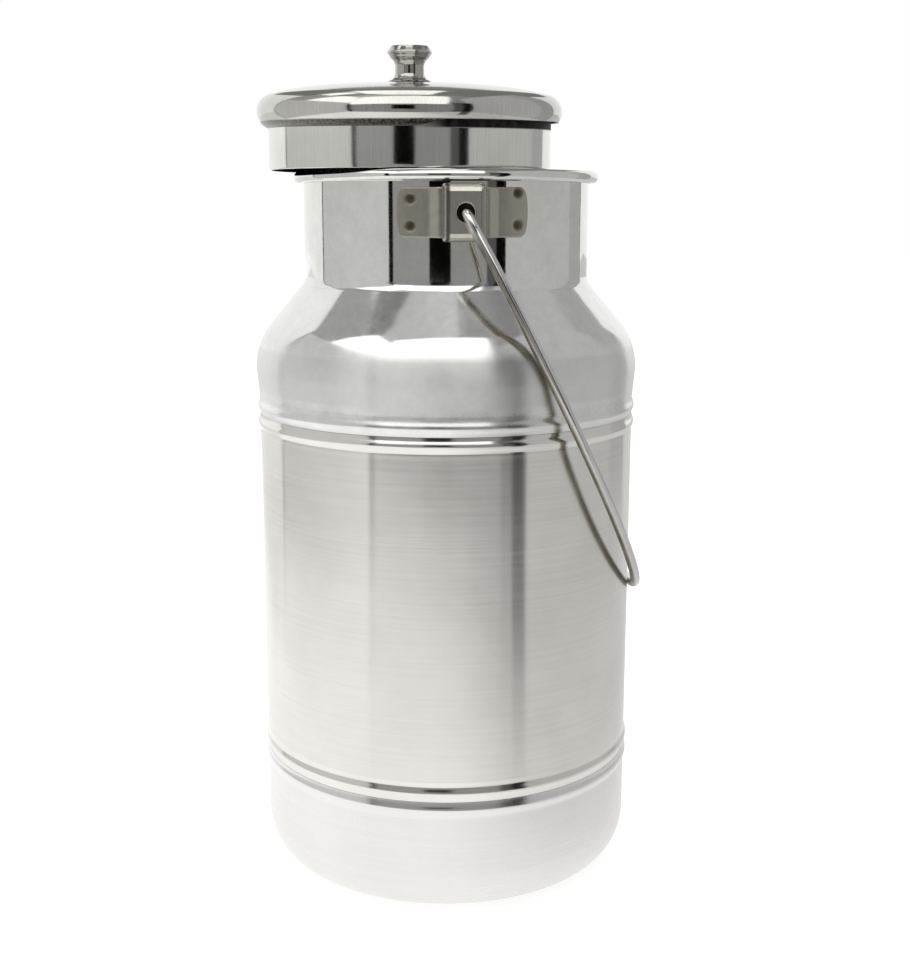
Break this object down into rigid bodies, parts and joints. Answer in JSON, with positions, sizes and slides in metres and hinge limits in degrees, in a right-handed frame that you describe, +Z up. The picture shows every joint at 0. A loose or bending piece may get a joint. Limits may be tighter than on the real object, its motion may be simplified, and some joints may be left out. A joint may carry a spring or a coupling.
{
  "type": "milk can",
  "caption": "Cylindrical sheet-steel milk can with a sloping shoulder, a straight neck with a rolled rim, a plug lid with a knob, and a wire bail on welded ears.",
  "frame": {"origin": "centre of the flat base, at the lowest point of the can", "axes": "+Z up along the can's axis; the front ear faces -Y, turned 6.5 degrees towards +X; the bail rests on the +X side"},
  "size_m": [0.2112, 0.2096, 0.4441],
  "materials": {
    "polished_steel": "polished, near mirror, with fine spinning marks",
    "brushed_steel": "brushed round the can",
    "pan_steel": "bright satin",
    "ear_steel": "dull pickled sheet with brown spot-weld marks",
    "wire_steel": "bright drawn wire",
    "knob_steel": "turned and polished",
    "fastener_steel": "plain bright"
  },
  "bodies": {
    "can": {"bottom_pan": "pan_steel", "body_shell": "brushed_steel", "shoulder": "polished_steel", "neck_collar": "polished_steel", "ear_strap_front": "ear_steel", "ear_strap_rear": "ear_steel", "ear_boss_front": "ear_steel", "ear_boss_rear": "ear_steel"},
    "bail": {"bail_handle": "wire_steel"},
    "lid": {"lid_cap": "polished_steel", "lid_plug_ring": "polished_steel", "lid_knob": "knob_steel", "knob_washer": "fastener_steel", "knob_screw": "fastener_steel"}
  },
  "joints": [
    {"name": "bail_swing", "type": "hinge", "parent": "can", "child": "bail", "pos_m": [0, 0, 0.358], "axis": [0.1132, -0.9936, 0], "range_deg": [0, 306.2]},
    {"name": "lid_lift", "type": "slide", "parent": "can", "child": "lid", "axis": [0, 0, 1], "range_m": [0, 0.13]}
  ]
}
